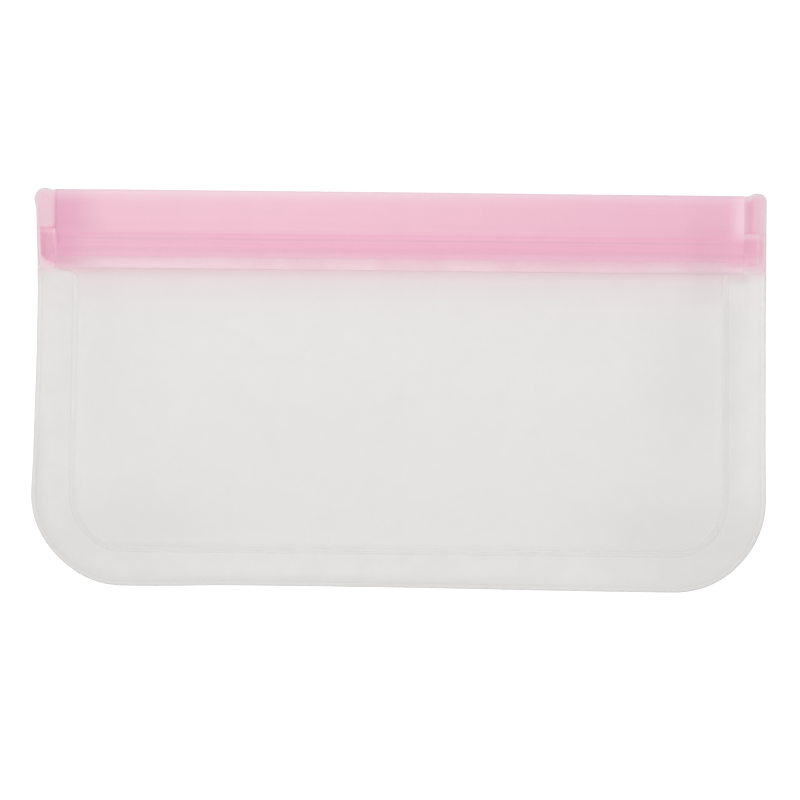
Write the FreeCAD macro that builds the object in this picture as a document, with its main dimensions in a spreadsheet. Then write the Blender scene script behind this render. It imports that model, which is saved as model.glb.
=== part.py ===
"""Reusable storage bag: two frosted film walls, a pressed weld border and an extruded double zip.

The bag lies flat on its back: X runs along the zip, Y from the base to the zip, Z out of the front.
Sketches measure Y up from the base edge. The placement of each body then centres the bag in Y.
"""

import FreeCAD
import Part
import os
import re
import Sketcher

PARTS_FOLDER = "parts"
TRACKS = ("upper", "lower")  # parallel tracks in the zip
SAME_PLACE = 1e-6  # points closer than this are one point
SIDES = (("left", -1), ("right", 1))

# Driving dimensions in millimetres.
SIZES = (
    ("bag_width", 220.0, "widest, at the top of the base corners"),
    ("zip_width", 218.2, "width at the lip edge"),
    ("bag_height", 118.4, "base edge to lip edge"),
    ("base_corner", 26.0, "radius of the two base corners"),
    ("film", 0.4, "thickness of one film wall"),
    ("film_gap", 0.3, "air between the front wall and the welds around it"),
    ("rim_width", 1.4, "sealed edge bead"),
    ("rim_height", 0.9, "height of the edge bead"),
    ("border_height", 0.7, "thickness where both films are fused"),
    ("seam_inset", 11.4, "side edge to pocket seam"),
    ("seam_inset_base", 10.2, "base edge to pocket seam"),
    ("seam_corner", 15.0, "outer radius of the pocket seam"),
    ("seam_width", 1.8, "pocket seam, both lines"),
    ("seam_height", 0.5, "thickness of the pressed seam"),
    ("seam_line", 0.5, "width of the groove between the two lines"),
    ("seam_groove", 0.15, "depth of the groove between the two lines"),
    ("strip_depth", 23.5, "lip edge to the lower edge of the zip strip"),
    ("flange_width", 3.6, "part of the strip that the film is fused to"),
    ("lip_height", 12.7, "free lip above the tracks"),
    ("lip_droop", 1.2, "how far the free edge of the front lip leans back"),
    ("web", 0.5, "thickness of the strip"),
    ("first_track", 14.5, "lip edge to the middle of the first track"),
    ("track_pitch", 3.6, "middle to middle of the tracks"),
    ("channel_width", 2.8, "outside of a female track"),
    ("channel_wall", 0.45, "side wall of a female track"),
    ("channel_height", 1.8, "female track above its strip"),
    ("channel_hook", 0.4, "height of the hooks at the mouth of a female track"),
    ("bead_width", 1.2, "head of a male track"),
    ("bead_neck", 0.7, "neck of a male track"),
    ("bead_height", 0.9, "height of the head of a male track"),
    ("bead_clearance", 0.1, "head to hook, each side"),
    ("floor_clearance", 0.2, "head to channel floor, and channel to front strip"),
    ("end_weld", 5.7, "width of the pressed ends of the zip"),
    ("lip_weld_height", 1.6, "thickness of the pressed end of the lips"),
    ("ear_rise", 0.7, "melted corner above the lip edge"),
    ("ear_corner", 2.3, "outer radius of the melted corner"),
    ("ear_inner_corner", 0.8, "inner radius of the melted corner"),
    ("track_weld_inset", 0.5, "crushed track end to side edge"),
    ("track_weld_top", 11.7, "lip edge to the top of the crushed track end"),
    ("track_weld_lap", 1.3, "crushed track end over the fused film"),
    ("track_weld_height", 2.2, "thickness of the crushed track end"),
    ("track_weld_corner", 2.5, "outer lower radius of the crushed track end"),
    ("weld_edge", 0.3, "rounding of the upper edges of the end welds"),
    ("shoulder", 12.0, "how far inside the seam the front wall reaches its full height"),
    ("base_rise", 24.0, "base of the pocket to the first full section"),
    ("zip_run", 22.0, "last full section to the zip"),
    ("low_shoulder", 4.5, "inside height of the pocket at its lower shoulders"),
    ("low_crown", 5.6, "inside height of the pocket at its lower middle"),
    ("mid_shoulder", 5.0, "inside height at the shoulders, halfway up"),
    ("mid_crown", 6.3, "inside height in the middle, halfway up"),
    ("high_shoulder", 4.5, "inside height at the upper shoulders"),
    ("high_crown", 5.4, "inside height at the upper middle"),
)

# Lines that several pieces share, measured from the base edge or from the surface the bag lies on.
STRIP_EDGE = "(bag_height - strip_depth)"
FILM_EDGE = "(bag_height - strip_depth + flange_width)"
LIP_ROOT = "(bag_height - lip_height)"
TRACK_LINE = "(bag_height - first_track)"
STRIP_END = "(zip_width / 2 - end_weld)"
BACK_FACE = "(film + web)"
CHANNEL_TOP = "(film + web + channel_height)"
FRONT_FACE = "(film + web + channel_height + floor_clearance)"
TRACK_WELD_TOP = "(bag_height - track_weld_top)"

doc = FreeCAD.newDocument("storage_bag")


# ---------------------------------------------------------------- sheet and sketch helpers


def make_sheet():
    """Writes the driving dimensions, one row each: name, value and what it measures."""
    sheet = doc.addObject("Spreadsheet::Sheet", "Dimensions")
    for row, (name, value, meaning) in enumerate(SIZES, start=1):
        sheet.set(f"A{row}", name)
        sheet.set(f"B{row}", str(value))
        sheet.set(f"C{row}", meaning)
        sheet.setAlias(f"B{row}", name)
    doc.recompute()


def sized(expression):
    """Turns the plain names in an expression into references to the sheet."""
    return re.sub(r"[a-z_]+", lambda name: f"Dimensions.{name.group(0)}", expression)


def value(thing, expression):
    """The number that an expression gives now."""
    return float(thing.evalExpression(sized(expression)))


def make_body(label):
    """An empty body, placed so that the middle of the bag is at Y = 0."""
    body = doc.addObject("PartDesign::Body", label)
    body.Label = label
    body.setExpression("Placement.Base.y", sized("-(bag_height + ear_rise) / 2"))
    return body


def plane_of(body, role):
    return next(f for f in body.Origin.OriginFeatures if f.Role == role)


def make_sketch(body, name, role="XY_Plane", offset="0"):
    """A sketch on one of the body's own planes, moved along its normal by offset."""
    sketch = body.newObject("Sketcher::SketchObject", name)
    sketch.AttachmentSupport = [(plane_of(body, role), "")]
    sketch.MapMode = "FlatFace"
    sketch.setExpression("AttachmentOffset.Base.z", sized(offset))
    return sketch


def constrain(sketch, kind, places, expression):
    """Adds a constraint whose size follows an expression."""
    index = sketch.addConstraint(Sketcher.Constraint(kind, *places, value(sketch, expression)))
    sketch.setExpression(f"Constraints[{index}]", sized(expression))


def pin(sketch, place, across, up, side=1):
    """Fixes a point at a distance across and up from the sketch's origin, on either side of it."""
    if across == "0":
        sketch.addConstraint(Sketcher.Constraint("PointOnObject", *place, -2))
    else:
        ends = (-1, 1, *place) if side > 0 else (*place, -1, 1)
        constrain(sketch, "DistanceX", ends, across)
    constrain(sketch, "DistanceY", (-1, 1, *place), up)


def polygon(sketch, corners, side=1):
    """A closed outline through corners, each a pair of expressions."""
    spots = [
        FreeCAD.Vector(side * value(sketch, across), value(sketch, up), 0) for across, up in corners
    ]
    first = len(sketch.Geometry)
    lines = [Part.LineSegment(a, b) for a, b in zip(spots, spots[1:] + spots[:1])]
    sketch.addGeometry(lines, False)
    for n, (across, up) in enumerate(corners):
        before = first + (n - 1) % len(corners)
        sketch.addConstraint(Sketcher.Constraint("Coincident", before, 2, first + n, 1))
        pin(sketch, (first + n, 1), across, up, side)


def edge_path(sketch, inset, inset_base, radius, top):
    """The right half of a line that follows the bag's edge: base, corner and side.

    Returns the first and the last piece of geometry.
    """
    base = value(sketch, inset_base)
    level = value(sketch, top)
    turn = value(sketch, radius)
    beside = value(sketch, f"bag_width / 2 - {inset}")
    centre = FreeCAD.Vector(beside - turn, base + turn, 0)
    start = FreeCAD.Vector(0, base, 0)
    low = FreeCAD.Vector(centre.x, base, 0)
    out = FreeCAD.Vector(beside, centre.y, 0)
    line = len(sketch.Geometry)
    corner, flank = line + 1, line + 2
    circle = Part.Circle(centre, FreeCAD.Vector(0, 0, 1), turn)
    sketch.addGeometry(Part.LineSegment(start, low), False)
    sketch.addGeometry(Part.ArcOfCircle(circle, -1.5708, 0), False)
    sketch.addGeometry(Part.LineSegment(out, FreeCAD.Vector(beside, level, 0)), False)
    sketch.addConstraint(Sketcher.Constraint("Tangent", line, 2, corner, 1))
    sketch.addConstraint(Sketcher.Constraint("Tangent", corner, 2, flank, 1))
    sketch.addConstraint(Sketcher.Constraint("PointOnObject", line, 1, -2))
    sketch.addConstraint(Sketcher.Constraint("Horizontal", line))
    constrain(sketch, "DistanceY", (-1, 1, line, 1), inset_base)
    constrain(sketch, "Radius", (corner,), radius)
    constrain(sketch, "DistanceY", (-1, 1, flank, 2), top)
    guides = (
        (f"bag_width / 2 - {inset}", "base_corner"),
        (f"zip_width / 2 - {inset}", "bag_height"),
    )
    for across, up in guides:
        spot = FreeCAD.Vector(value(sketch, across), value(sketch, up), 0)
        guide = sketch.addGeometry(Part.Point(spot), True)
        pin(sketch, (guide, 1), across, up)
        sketch.addConstraint(Sketcher.Constraint("PointOnObject", guide, 1, flank))
    return line, flank


def join(sketch, first, second):
    """A straight line between two ends."""
    a, b = (sketch.getPoint(*place) for place in (first, second))
    line = sketch.addGeometry(Part.LineSegment(a, b), False)
    sketch.addConstraint(Sketcher.Constraint("Coincident", line, 1, *first))
    sketch.addConstraint(Sketcher.Constraint("Coincident", line, 2, *second))


def half_band(sketch, outer, inner, top):
    """The right half of a U-shaped band between two edge paths."""
    outer_base, outer_side = edge_path(sketch, *outer, top)
    inner_base, inner_side = edge_path(sketch, *inner, top)
    join(sketch, (outer_base, 1), (inner_base, 1))
    join(sketch, (outer_side, 2), (inner_side, 2))


def half_plate(sketch, outer, top):
    """The right half of everything inside an edge path."""
    base, flank = edge_path(sketch, *outer, top)
    corner = FreeCAD.Vector(0, value(sketch, top), 0)
    across = sketch.addGeometry(Part.LineSegment(sketch.getPoint(flank, 2), corner), False)
    sketch.addConstraint(Sketcher.Constraint("Coincident", across, 1, flank, 2))
    sketch.addConstraint(Sketcher.Constraint("Horizontal", across))
    sketch.addConstraint(Sketcher.Constraint("PointOnObject", across, 2, -2))
    join(sketch, (across, 2), (base, 1))


# ---------------------------------------------------------------- feature helpers


def pad(body, sketch, name, length, side_type="One side"):
    feature = body.newObject("PartDesign::Pad", name)
    feature.Profile = sketch
    feature.SideType = side_type
    feature.setExpression("Length", sized(length))
    return feature


def mirror(body, name):
    """Adds the left half of a body whose right half is made."""
    feature = body.newObject("PartDesign::Mirrored", name)
    feature.TransformMode = "Whole shape"
    feature.MirrorPlane = (plane_of(body, "YZ_Plane"), [""])
    body.Tip = feature


def pattern_tracks(body, tracks, sketch):
    """Repeats a track towards the base at the track pitch."""
    feature = body.newObject("PartDesign::LinearPattern", "TrackPattern")
    feature.Originals = [tracks]
    feature.Direction = (sketch, ["H_Axis"])
    feature.Reversed = True
    feature.Mode = "Spacing"
    feature.setExpression("Offset", sized("track_pitch"))
    feature.Occurrences = len(TRACKS)
    body.Tip = feature


def round_edges(body, feature, name, radius, chosen):
    """Rounds the edges of a feature that the test chosen accepts."""
    doc.recompute()
    names = [f"Edge{n}" for n, edge in enumerate(feature.Shape.Edges, start=1) if chosen(edge)]
    fillet = body.newObject("PartDesign::Fillet", name)
    fillet.Base = (feature, names)
    fillet.setExpression("Radius", sized(radius))
    return fillet


# ---------------------------------------------------------------- edge paths that pieces share

BAG_EDGE = ("0", "0", "base_corner")
RIM_INSIDE = ("rim_width", "rim_width", "(base_corner - rim_width)")
SEAM_OUTSIDE = ("seam_inset", "seam_inset_base", "seam_corner")


def inside_seam(distance):
    """The edge path this far inside the outer line of the pocket seam."""
    return (
        f"(seam_inset + {distance})",
        f"(seam_inset_base + {distance})",
        f"(seam_corner - {distance})",
    )


# ---------------------------------------------------------------- films


def make_back_film():
    body = make_body("back_film")
    sketch = make_sketch(body, "PocketPlate")
    half_plate(sketch, inside_seam("seam_width"), STRIP_EDGE)
    pad(body, sketch, "Film", "film")
    mirror(body, "BothSides")


def make_front_film():
    """The domed wall: sections across the bag, joined from the base to the zip and trimmed."""
    body = make_body("front_film")
    edge = "(film + film_gap)"
    zip_level = f"({FRONT_FACE} + web)"
    base = "(seam_inset_base + seam_width + film_gap)"
    middle = f"(({base} + base_rise + {STRIP_EDGE} - zip_run) / 2)"
    stations = (
        ("BaseSection", base, edge, edge),
        ("LowSection", f"({base} + base_rise)", "(film + low_shoulder)", "(film + low_crown)"),
        ("MiddleSection", middle, "(film + mid_shoulder)", "(film + mid_crown)"),
        ("HighSection", f"({STRIP_EDGE} - zip_run)", "(film + high_shoulder)", "(film + high_crown)"),
        ("ZipSection", STRIP_EDGE, zip_level, zip_level),
    )
    reach = "(bag_width / 2 - seam_inset - seam_width - film_gap)"
    sections = []
    for name, station, shoulder, crown in stations:
        section = make_sketch(body, name, "XZ_Plane", f"-{station}")
        under = (("0", crown), (f"({reach} - shoulder)", shoulder), (reach, edge))
        over = tuple((across, f"({level} + film)") for across, level in reversed(under))
        polygon(section, under + over)
        sections.append(section)
    dome = body.newObject("PartDesign::AdditiveLoft", "Dome")
    dome.Profile = sections[0]
    dome.Sections = sections[1:]
    doc.recompute()
    full = dome.Shape.Volume
    trim = make_sketch(body, "TrimOutline")
    half_band(trim, BAG_EDGE, inside_seam("(seam_width + film_gap)"), f"({STRIP_EDGE} + film)")
    cut = body.newObject("PartDesign::Pocket", "Trim")
    cut.Profile = trim
    cut.Type = "ThroughAll"
    cut.Reversed = True
    doc.recompute()
    if not 0.9 * full < cut.Shape.Volume < full:
        raise RuntimeError("the trim of the front film cuts too much or nothing")
    mirror(body, "BothSides")


# ---------------------------------------------------------------- pressed border


def make_border():
    body = make_body("weld_border")
    sketch = make_sketch(body, "BorderBand")
    half_band(sketch, RIM_INSIDE, SEAM_OUTSIDE, STRIP_EDGE)
    pad(body, sketch, "Band", "border_height")
    mirror(body, "BothSides")


def make_edge_rim():
    body = make_body("edge_rim")
    sketch = make_sketch(body, "RimBand")
    half_band(sketch, BAG_EDGE, RIM_INSIDE, STRIP_EDGE)
    pad(body, sketch, "Band", "rim_height")
    mirror(body, "BothSides")


def make_pocket_seam():
    """A pressed band with a groove that leaves two fine lines."""
    body = make_body("pocket_seam")
    sketch = make_sketch(body, "SeamBand")
    half_band(sketch, SEAM_OUTSIDE, inside_seam("seam_width"), STRIP_EDGE)
    band = pad(body, sketch, "Band", "seam_height")
    doc.recompute()
    groove = make_sketch(body, "SeamGroove", offset="seam_height")
    line = "(seam_width - seam_line) / 2"
    half_band(groove, inside_seam(f"({line})"), inside_seam(f"({line} + seam_line)"), STRIP_EDGE)
    cut = body.newObject("PartDesign::Pocket", "Groove")
    cut.Profile = groove
    cut.setExpression("Length", sized("seam_groove"))
    doc.recompute()
    if not 0.8 * band.Shape.Volume < cut.Shape.Volume < band.Shape.Volume:
        raise RuntimeError("the groove of the pocket seam cuts too much or nothing")
    mirror(body, "BothSides")


# ---------------------------------------------------------------- zip strips


def make_back_strip():
    """Web with two female channels. Each channel is two walls with hooks turned inward."""
    body = make_body("back_zip_strip")
    web = make_sketch(body, "WebSection", "YZ_Plane")
    polygon(web, rectangle(STRIP_EDGE, "bag_height", "film", BACK_FACE))
    pad(body, web, "Web", f"2 * {STRIP_END}", "Symmetric")
    channel = make_sketch(body, "ChannelSection", "YZ_Plane")
    outer = "(channel_width / 2)"
    cavity = "(channel_width / 2 - channel_wall)"
    mouth = "(bead_width / 2 + bead_clearance)"
    hook = f"({CHANNEL_TOP} - channel_hook)"
    for sign in ("+", "-"):
        corners = (
            (outer, BACK_FACE),
            (outer, CHANNEL_TOP),
            (mouth, CHANNEL_TOP),
            (mouth, hook),
            (cavity, hook),
            (cavity, BACK_FACE),
        )
        polygon(channel, [(f"({TRACK_LINE} {sign} {out})", up) for out, up in corners])
    tracks = pad(body, channel, "Channel", f"2 * {STRIP_END}", "Symmetric")
    pattern_tracks(body, tracks, channel)


def make_front_strip():
    """Web with two male beads. Its lip leans back towards the other lip at its free edge."""
    body = make_body("front_zip_strip")
    length = f"2 * ({STRIP_END} - film_gap)"
    web = make_sketch(body, "WebSection", "YZ_Plane")
    under = (
        (STRIP_EDGE, FRONT_FACE),
        (LIP_ROOT, FRONT_FACE),
        ("bag_height", f"({FRONT_FACE} - lip_droop)"),
    )
    over = tuple((along, f"({level} + web)") for along, level in reversed(under))
    polygon(web, under + over)
    pad(body, web, "Web", length, "Symmetric")
    bead = make_sketch(body, "BeadSection", "YZ_Plane")
    head_foot = f"({BACK_FACE} + floor_clearance)"
    head_top = f"({BACK_FACE} + floor_clearance + bead_height)"
    right = (
        ("+ bead_neck / 2", FRONT_FACE),
        ("+ bead_neck / 2", head_top),
        ("+ bead_width / 2", head_top),
        ("+ bead_width / 2", head_foot),
    )
    left = tuple((out.replace("+", "-"), up) for out, up in reversed(right))
    polygon(bead, [(f"({TRACK_LINE} {out})", up) for out, up in right + left])
    tracks = pad(body, bead, "Bead", length, "Symmetric")
    pattern_tracks(body, tracks, bead)


def rectangle(low, high, under, over):
    return ((low, under), (high, under), (high, over), (low, over))


# ---------------------------------------------------------------- welds at the zip


def make_film_weld(label, end, level):
    """The strip of film that is fused to a flange, from one end of the zip to the other."""
    body = make_body(label)
    sketch = make_sketch(body, "WeldSection", "YZ_Plane")
    polygon(sketch, rectangle(STRIP_EDGE, FILM_EDGE, level, f"({level} + film)"))
    pad(body, sketch, "Band", f"2 * {end}", "Symmetric")


def make_lip_weld(name, side):
    """The pressed end of both lips, with a melted ear at its outer upper corner."""
    body = make_body(f"{name}_lip_weld")
    sketch = make_sketch(body, "Outline", offset="film")
    outer, top = "(zip_width / 2)", "(bag_height + ear_rise)"
    polygon(sketch, rectangle(STRIP_END, outer, TRACK_WELD_TOP, top), side)
    block = pad(body, sketch, "Block", "lip_weld_height")
    upright_at = make_upright_test(body, side, top)
    ear = round_edges(body, block, "Ear", "ear_corner", upright_at(outer))
    inner = round_edges(body, ear, "InnerCorner", "ear_inner_corner", upright_at(STRIP_END))
    round_upper_edges(body, inner, "(film + lip_weld_height)")


def make_track_weld(name, side):
    """The crushed end of the tracks."""
    body = make_body(f"{name}_track_weld")
    sketch = make_sketch(body, "Outline", offset="film")
    outer = "(zip_width / 2 - track_weld_inset)"
    foot = f"({FILM_EDGE} - track_weld_lap)"
    polygon(sketch, rectangle(STRIP_END, outer, foot, TRACK_WELD_TOP), side)
    block = pad(body, sketch, "Block", "track_weld_height")
    upright_at = make_upright_test(body, side, foot)
    corner = round_edges(body, block, "FootCorner", "track_weld_corner", upright_at(outer))
    round_upper_edges(body, corner, "(film + track_weld_height)")


def make_upright_test(body, side, up):
    """Gives a maker of tests for the upright edge at a distance across and up."""
    level = value(body, up)

    def upright_at(across):
        place = side * value(body, across)

        def is_it(edge):
            box = edge.BoundBox
            upright = box.XLength + box.YLength < SAME_PLACE < box.ZLength
            return upright and abs(box.XMin - place) + abs(box.YMin - level) < SAME_PLACE

        return is_it

    return upright_at


def round_upper_edges(body, feature, top):
    level = value(body, top)
    round_edges(
        body, feature, "SoftEdges", "weld_edge", lambda edge: edge.BoundBox.ZMin > level - SAME_PLACE
    )


# ---------------------------------------------------------------- build, check and write

make_sheet()
make_back_film()
make_front_film()
make_border()
make_edge_rim()
make_pocket_seam()
make_back_strip()
make_front_strip()
make_film_weld("back_film_weld", "zip_width / 2", "0")
make_film_weld("front_film_weld", f"({STRIP_END} - film_gap)", f"({FRONT_FACE} + web)")
for weld_name, weld_side in SIDES:
    make_lip_weld(weld_name, weld_side)
    make_track_weld(weld_name, weld_side)

doc.recompute()
for thing in doc.Objects:
    if {"Invalid", "Error"} & set(thing.State):
        raise RuntimeError(f"{thing.Label} failed: {thing.State}")

bodies = [thing for thing in doc.Objects if thing.TypeId == "PartDesign::Body"]
for body in bodies:
    if body.Shape.isNull() or not body.Shape.isValid() or len(body.Shape.Solids) != 1:
        raise RuntimeError(f"{body.Label} isn't one valid solid")

os.makedirs(PARTS_FOLDER, exist_ok=True)
for body in bodies:
    body.Shape.exportStep(os.path.join(PARTS_FOLDER, f"{body.Label}.step"))
    print(f"{body.Label}: {body.Shape.Volume:.1f} mm3, {body.Shape.BoundBox}")
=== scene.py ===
"""The looks of a reusable storage bag: frosted film walls, a pressed border and a pink zip.

Lengths are in millimetres while a piece is shaped. finish_piece turns them into metres.
X runs along the zip, Y from the base to the zip and Z out of the front wall.
"""

import bmesh
import bpy
import math
from mathutils import Euler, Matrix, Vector, noise


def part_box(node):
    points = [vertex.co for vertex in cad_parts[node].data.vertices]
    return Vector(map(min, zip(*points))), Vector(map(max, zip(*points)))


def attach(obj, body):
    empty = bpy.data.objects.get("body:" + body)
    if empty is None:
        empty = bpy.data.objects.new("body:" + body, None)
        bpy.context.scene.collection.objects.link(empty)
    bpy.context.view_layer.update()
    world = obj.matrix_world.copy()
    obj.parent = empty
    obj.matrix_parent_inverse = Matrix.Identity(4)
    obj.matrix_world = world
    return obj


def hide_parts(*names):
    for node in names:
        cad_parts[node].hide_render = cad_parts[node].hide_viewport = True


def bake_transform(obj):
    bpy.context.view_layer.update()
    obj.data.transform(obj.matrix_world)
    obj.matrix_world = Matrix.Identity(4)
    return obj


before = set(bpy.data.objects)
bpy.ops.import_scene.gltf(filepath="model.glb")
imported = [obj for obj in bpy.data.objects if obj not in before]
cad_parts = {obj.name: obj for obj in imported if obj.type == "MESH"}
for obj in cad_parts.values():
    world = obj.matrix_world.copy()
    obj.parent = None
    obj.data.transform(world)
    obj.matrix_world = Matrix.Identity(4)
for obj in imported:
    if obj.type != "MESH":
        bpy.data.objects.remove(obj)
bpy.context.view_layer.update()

MM = 0.001
SIDES = (("left", -1), ("right", 1))


# ---------------- sizes from the frame


def node_box(node):
    """The lowest and highest corner of a CAD node, in millimetres."""
    low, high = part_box(node)
    return Vector(low) / MM, Vector(high) / MM


RIM_LOW, RIM_HIGH = node_box("edge_rim")
SEAM_LOW, SEAM_HIGH = node_box("pocket_seam")
STRIP_LOW, STRIP_HIGH = node_box("back_zip_strip")
FRONT_LOW = node_box("front_zip_strip")[0]
WELD_HIGH = node_box("back_film_weld")[1]
FRONT_WELD_LOW = node_box("front_film_weld")[0]
LIP_WELD_LOW = node_box("right_lip_weld")[0]
TRACK_WELD_LOW = node_box("right_track_weld")[0]
FRONT_FILM_HIGH = node_box("front_film")[1]

HALF_WIDE = RIM_HIGH.x
HALF_ZIP = WELD_HIGH.x
BASE = RIM_LOW.y
STRIP_EDGE = STRIP_LOW.y  # lower edge of the zip
FILM_EDGE = WELD_HIGH.y  # where the fused film stops
LIP_EDGE = STRIP_HIGH.y
STRIP_END = STRIP_HIGH.x  # where the strips stop and their crushed ends start
FRONT_TOP = FRONT_WELD_LOW.z  # outer face of the front strip over the tracks
FILM = WELD_HIGH.z  # thickness of the film where it is fused to a strip
SEAM_INSET = HALF_WIDE - SEAM_HIGH.x
BASE_SHARE = (SEAM_LOW.y - BASE) / SEAM_INSET  # the border is a little narrower at the base

CORNER = 27.2  # radius of the base corners
CORNER_LEVEL = BASE + CORNER
RIM_WIDTH = 1.4
SEAM_WIDTH = 1.8
FILM_INSET = SEAM_INSET + SEAM_WIDTH
POCKET_BASE = BASE + FILM_INSET * BASE_SHARE
WALL = 0.22  # thickness of a film over the pocket
THIN_FILM = 0.07  # what is left of it where it runs out on the front strip
WEB = 0.5  # thickness of both zip strips
FREE_LIP = 12.7
FIRST_TRACK = 14.5
TRACK_PITCH = 3.6
LIP_ROOT = LIP_EDGE - FREE_LIP
TRACK_LINES = (LIP_EDGE - FIRST_TRACK, LIP_EDGE - FIRST_TRACK - TRACK_PITCH)
LIP_DROOP = 1.25  # how far the free lip leans back
SQUEEZE_START = 84.0  # where the zip starts to sink towards its ends
TRACK_SINK = 1.3  # how far the tracks have sunk there, and how much further the rest has
FLANGE_SINK = 0.5
LIP_SINK = 0.6
RIGHT_SHORT = 0.9  # how much further in the right end of the zip is crushed
CLIMB = 14.0  # length over which a film rises to the level of the zip
SIDE_SWELL = 33.0  # distances from the seams and the zip at which the front wall is full
BASE_SWELL = 53.0
ZIP_SWELL = 38.0

# narrow gaps, so that no two pieces share a face
END_GAP = 0.006  # between a strip and its crushed end
ZONE_GAP = 0.01  # between the zones of the border
WELD_GAP = 0.02  # between a strip and the film fused to it
SQUEEZED_GAP = 0.06  # between the two strips where they are squeezed together


# ---------------- shapes that several pieces share


def smooth_step(value):
    """0 below 0, 1 above 1 and a smooth rise between them."""
    value = min(max(value, 0.0), 1.0)
    return value * value * (3 - 2 * value)


def bump(distance, width):
    """A soft hill of height 1 that is about width wide on each side."""
    return math.exp(-((distance / width) ** 2))


def taper(y):
    """The share of the full width that is left at y: the bag narrows towards the zip."""
    rise = max(y - CORNER_LEVEL, 0) / (LIP_EDGE - CORNER_LEVEL)
    return 1 + rise * (HALF_ZIP / HALF_WIDE - 1)


def half_width(y, inset):
    """Half of the width at y of a line that runs inset from the bag's edge."""
    across = CORNER - inset
    along = CORNER - inset * BASE_SHARE
    drop = min(max((CORNER_LEVEL - y) / along, 0.0), 1.0)
    return (HALF_WIDE - CORNER + across * math.sqrt(1 - drop * drop)) * taper(y)


def zip_end(x):
    """Where the strips stop on the side of x: the right end is crushed a little further in."""
    return STRIP_END - RIGHT_SHORT if x > 0 else STRIP_END


def seam_bend(side, y):
    """How far the pocket seam turns outwards just below the zip: only the left one does."""
    turn = min(max((y - STRIP_EDGE + 3) / 2.6, 0), 1)
    return 6.0 * (1 - math.sqrt(1 - turn * turn)) if side < 0 else 0.0


def cut_edge(x, y):
    """How far the trimmed edge strays from its true line, as a move along X and along Y.

    The left edge leans inwards above its corner, the right one is pulled in a little, the lower
    left corner is clipped short, and the base sweeps up on the left and down on the right.
    """
    at_left = smooth_step((-x - 99) / 10)
    at_right = smooth_step((x - 99) / 10)
    at_base = smooth_step((-49 - y) / 9)
    lean = 0.3 * smooth_step((y + 34) / 14) + 0.65 * smooth_step((y + 34) / 60)
    lean *= 1 - smooth_step((y - 27) / 32)
    lean -= 0.12 * bump(y - 23, 12)
    pull = 0.12 * smooth_step((y + 36) / 24)
    clipped = 0.4 * bump(math.hypot(x + 101, y + 51), 12)
    sweep = 0.48 - 0.8 * smooth_step((x + 50) / 140) - 0.42 * smooth_step((-50 - x) / 25)
    sweep += 0.1 * bump(x - 5, 40)
    return at_left * lean - at_right * pull + clipped, at_base * sweep + clipped


def seam_lift(y):
    """How far the pocket seam stands off the table: more along the sides than along the base."""
    side = smooth_step((y - BASE - 8) / 30)
    return 0.35 + 0.85 * side


def squeeze(level):
    """The share of its thickness that the front strip keeps where its outer face is at level."""
    return min((level - STRIP_LOW.z - WEB - SQUEEZED_GAP) / (FRONT_TOP - FRONT_LOW.z), 1)


def weld_rise(y):
    """How far the fused film stands off the front strip: it thins out towards the tracks."""
    if y >= FILM_EDGE:
        return 0.0
    return THIN_FILM + (FILM - THIN_FILM) * (FILM_EDGE - y) / (FILM_EDGE - STRIP_EDGE)


def zip_foot(x):
    """The height at which the films reach the lower edge of the zip."""
    past = max(abs(x) - zip_end(x), 0)
    level = strip_level(x, STRIP_EDGE)
    return level + FILM * squeeze(level) - 0.35 * smooth_step(past / 5.5)


def zip_reach(y):
    """How far, from 0 to 1, a film has climbed from its own level to that of the zip."""
    return smooth_step((y - STRIP_EDGE + CLIMB) / CLIMB)


def border_rise(x, y, inset):
    """How far the pressed border stands above the table at an inset from the bag's edge."""
    flat = 3
    inward = min(max((inset - flat) / (FILM_INSET - flat), 0), 1)
    rise = seam_lift(y) * inward**2
    return rise + (zip_foot(x) - 0.55 - rise) * zip_reach(y)


def waves(x, y, span, seed):
    """A smooth random height between -1 and 1 whose waves are about span long."""
    return noise.noise(Vector((x / span, y / span, seed)))


def strip_level(x, y):
    """The outer face of the front strip.

    It is level over the tracks, with a lip that leans back. Towards each end it sinks onto the
    back strip, and a shallow crease marks where the crushed end starts.
    """
    from_end = max(zip_end(x) - abs(x), 0)
    near_end = smooth_step((abs(x) - SQUEEZE_START) / (zip_end(x) - 3 - SQUEEZE_START))
    flange = smooth_step((FILM_EDGE + 3 - y) / 7)
    lip = smooth_step((y - LIP_ROOT + 1) / (LIP_EDGE - LIP_ROOT))
    free = FRONT_TOP - LIP_DROOP * lip
    sunk = FRONT_TOP - TRACK_SINK - FLANGE_SINK * flange
    sunk -= LIP_SINK * smooth_step((y - LIP_ROOT + 2) / 7)
    crease = 0.05 * bump(from_end - 0.9, 0.6) * smooth_step((y - FILM_EDGE) / 3) * (x < 0)
    return free + (sunk - free) * near_end - crease


def quarter_wave(share):
    """A rise from 0 to 1 that is steep at first and level at its end."""
    return math.sin(math.pi / 2 * min(share, 1))


def swell(distance, reach):
    """The rise of the front wall from 0 at a seam to 1 at reach: it leaves the seam almost flat."""
    distance = max(distance, 0)
    return quarter_wave(distance * distance / (distance + 3) / (reach - 3))


def pocket_reach(x, y):
    """How far a point of the pocket lies from the seam beside it and from the one at the base."""
    side = -1 if x < 0 else 1
    beside = half_width(y, FILM_INSET) + seam_bend(side, y) - abs(x)
    return beside, y - POCKET_BASE


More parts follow.
